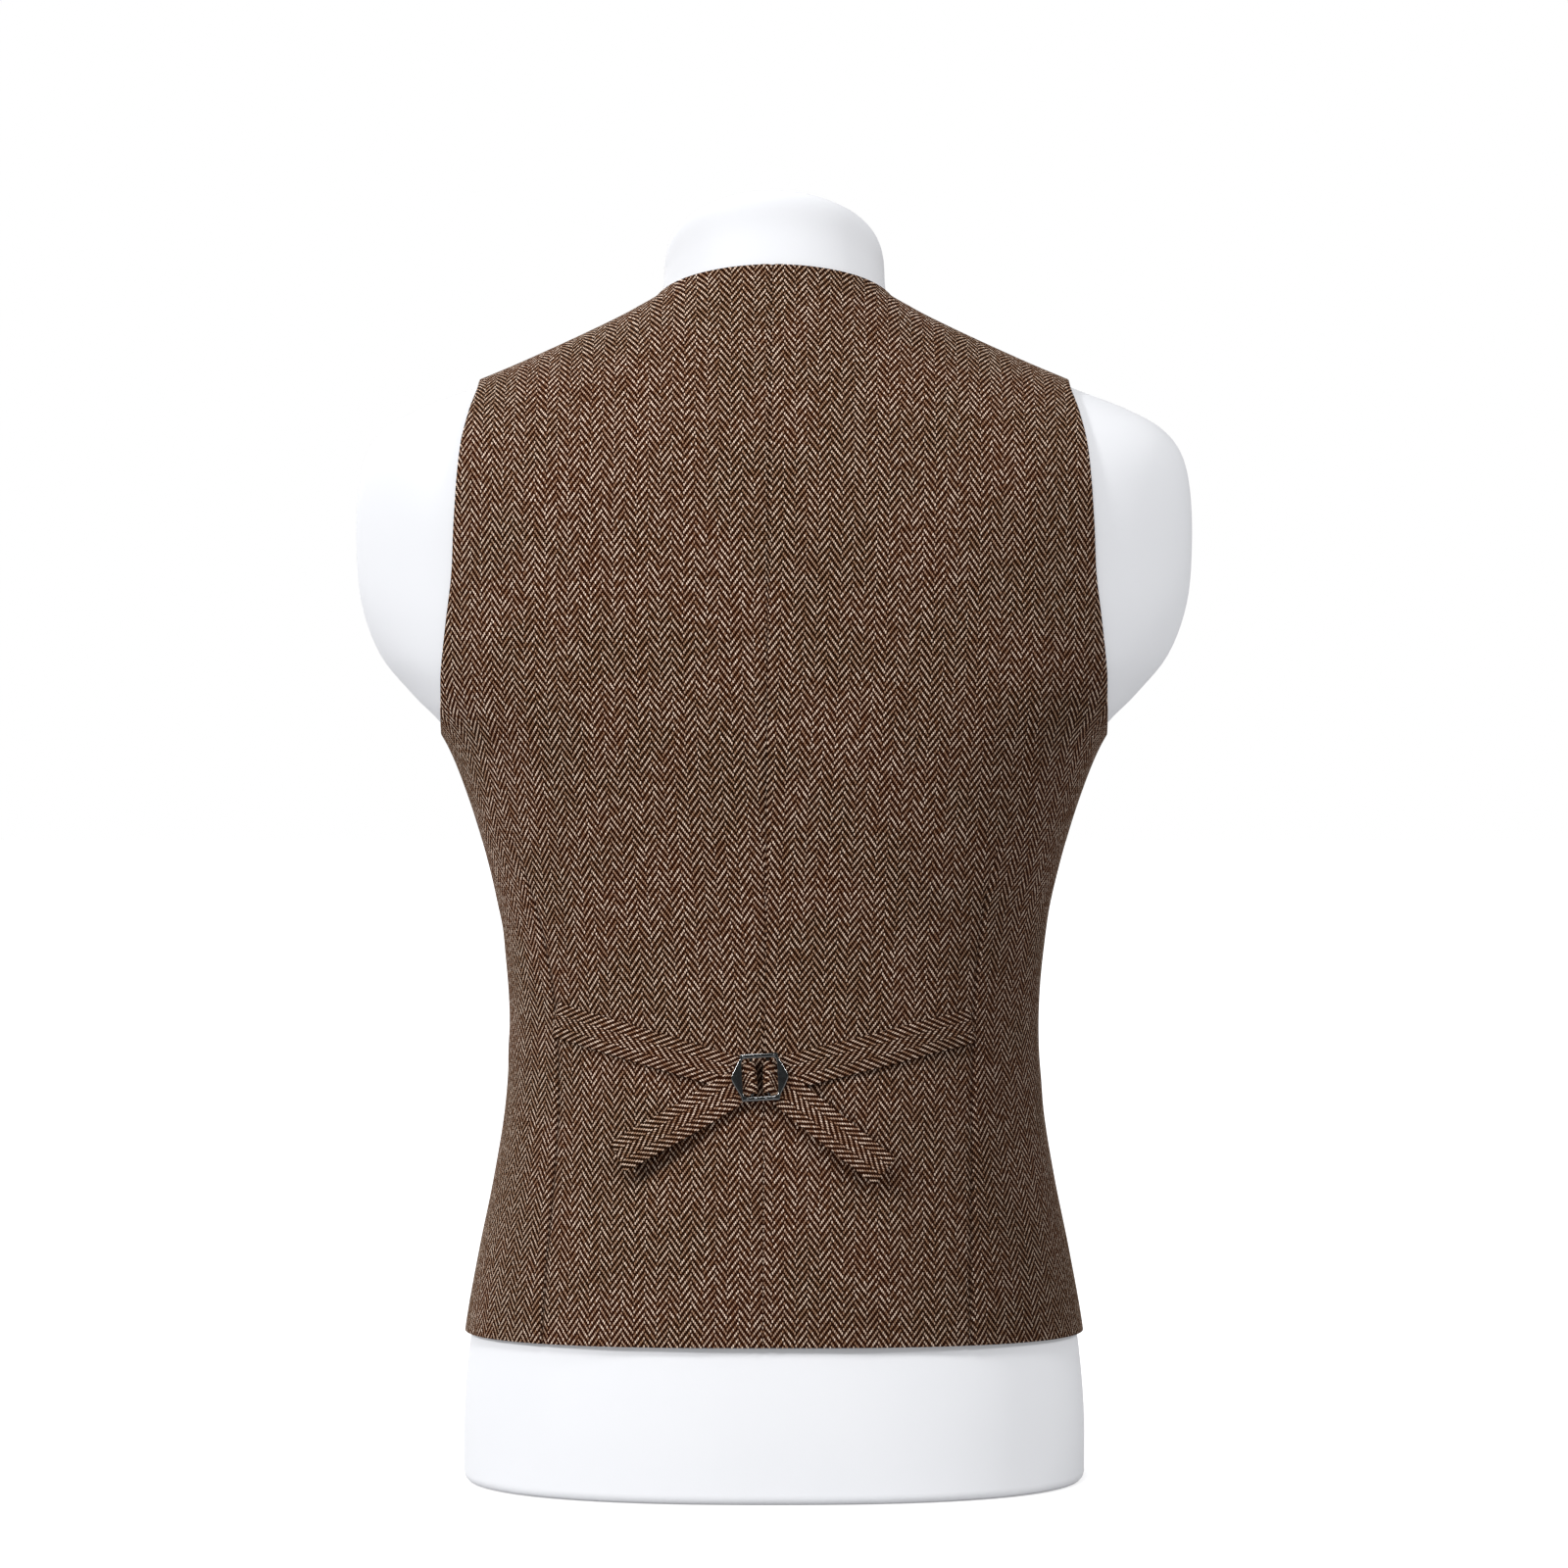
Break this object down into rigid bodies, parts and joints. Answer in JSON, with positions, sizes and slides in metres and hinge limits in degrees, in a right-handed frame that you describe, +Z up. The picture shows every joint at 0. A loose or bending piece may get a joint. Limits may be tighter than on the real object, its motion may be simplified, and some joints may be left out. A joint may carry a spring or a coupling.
{
  "type": "suit waistcoat on a limbless dress form",
  "caption": "Sleeveless single-breasted tweed waistcoat with pointed fronts and a buckled half belt across the back waist, shown on a smooth limbless form.",
  "frame": {"origin": "middle of the form's footprint, on the surface the form stands on", "axes": "+Z up; the garment's buttoned front faces -Y and its back, with the belt, faces +Y; +X is the wearer's left"},
  "size_m": [0.4594, 0.2469, 0.701],
  "materials": {
    "white_jersey": "smooth matte white jersey",
    "tweed": "brown herringbone tweed, matte and slightly hairy",
    "black_enamel": "glossy black enamel on steel",
    "brown_horn": "satin dark brown horn"
  },
  "bodies": {
    "root": {"form": "white_jersey", "back_left": "tweed", "back_right": "tweed", "front_left": "tweed", "front_right": "tweed", "belt_left": "tweed", "belt_right": "tweed", "buckle": "black_enamel", "button_1": "brown_horn", "button_2": "brown_horn", "button_3": "brown_horn", "button_4": "brown_horn", "button_5": "brown_horn"}
  },
  "joints": []
}
